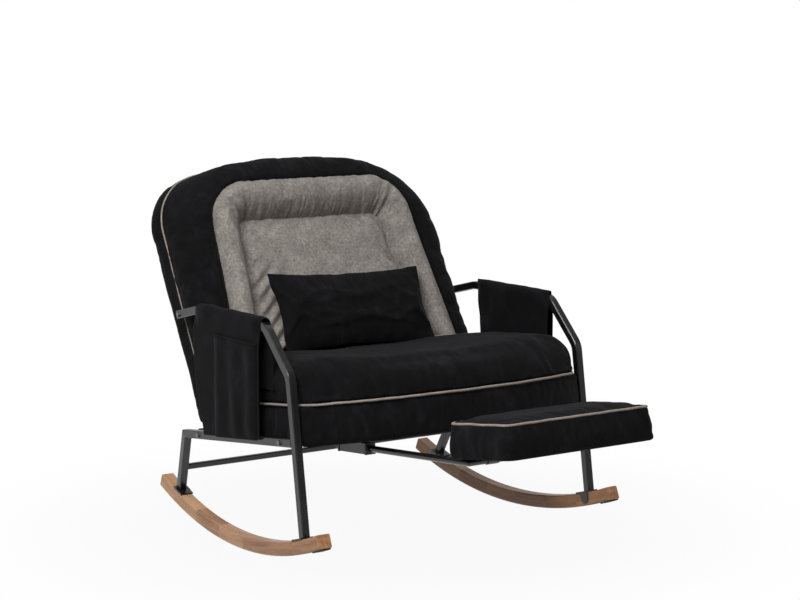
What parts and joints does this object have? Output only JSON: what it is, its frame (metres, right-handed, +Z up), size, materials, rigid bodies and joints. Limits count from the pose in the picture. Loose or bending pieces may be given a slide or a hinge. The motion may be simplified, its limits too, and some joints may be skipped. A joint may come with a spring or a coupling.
{
  "type": "rocking armchair",
  "caption": "Padded rocking armchair on bent steel side frames and curved wooden rockers, with a slide-out flip-over footrest, side pockets and a loose lumbar pillow.",
  "frame": {"origin": "on the floor, midway between the points where the two rockers touch it with the chair at rest", "axes": "+Z up, -Y towards the front of the chair, +X towards the sitter's left"},
  "size_m": [0.906, 1.3191, 0.8987],
  "materials": {
    "frame_steel": "satin",
    "rocker_wood": "satin",
    "panel_wood": "matte",
    "black_fabric": "matte",
    "grey_fabric": "matte",
    "webbing": "matte",
    "zinc_steel": "satin",
    "black_plastic": "matte",
    "black_rubber": "matte"
  },
  "bodies": {
    "chair": {"arm_bolts": "zinc_steel", "arm_spacers": "black_plastic", "back_bolster": "grey_fabric", "back_bolts": "zinc_steel", "back_cushion": "black_fabric", "back_frame": "frame_steel", "back_pad": "grey_fabric", "back_webbing": "webbing", "dust_cover": "webbing", "left_arm_cover": "black_fabric", "left_arm_pad": "black_fabric", "left_arm_tube": "frame_steel", "left_front_foot_bracket": "frame_steel", "left_guide_bushes": "black_plastic", "left_rear_foot_bracket": "frame_steel", "left_rear_leg": "frame_steel", "left_rocker": "rocker_wood", "left_rocker_stop": "black_rubber", "left_seat_rail": "frame_steel", "left_side_pocket": "black_fabric", "left_slide_guide": "frame_steel", "rear_crossbar": "frame_steel", "right_arm_cover": "black_fabric", "right_arm_pad": "black_fabric", "right_arm_tube": "frame_steel", "right_front_foot_bracket": "frame_steel", "right_guide_bushes": "black_plastic", "right_rear_foot_bracket": "frame_steel", "right_rear_leg": "frame_steel", "right_rocker": "rocker_wood", "right_rocker_stop": "black_rubber", "right_seat_rail": "frame_steel", "right_side_pocket": "black_fabric", "right_slide_guide": "frame_steel", "seat_base": "black_fabric", "seat_bolts": "zinc_steel", "seat_cushion": "black_fabric", "seat_frame": "panel_wood", "seat_webbing": "webbing"},
    "footrest_slider": {"footrest_frame": "frame_steel", "rod_stops": "black_plastic"},
    "footrest_cushion": {"footrest_board": "panel_wood", "footrest_pad": "black_fabric", "left_hinge_clip": "frame_steel", "right_hinge_clip": "frame_steel"},
    "lumbar_pillow": {"lumbar_pillow": "black_fabric"}
  },
  "joints": [
    {"name": "footrest_slide", "type": "slide", "parent": "chair", "child": "footrest_slider", "axis": [0, 0.9962, -0.0872], "range_m": [0, 0.3]},
    {"name": "footrest_flip", "type": "hinge", "parent": "footrest_slider", "child": "footrest_cushion", "pos_m": [0, -0.61, 0.282], "axis": [1, 0, 0], "range_deg": [0, 180]},
    {"name": "pillow_lift", "type": "slide", "parent": "chair", "child": "lumbar_pillow", "axis": [0, -0.8805, 0.4741], "range_m": [0, 0.2]}
  ],
  "couplings": [
    {"joint": "footrest_flip", "follows": "footrest_slide", "rad_per_m": 10.472}
  ]
}
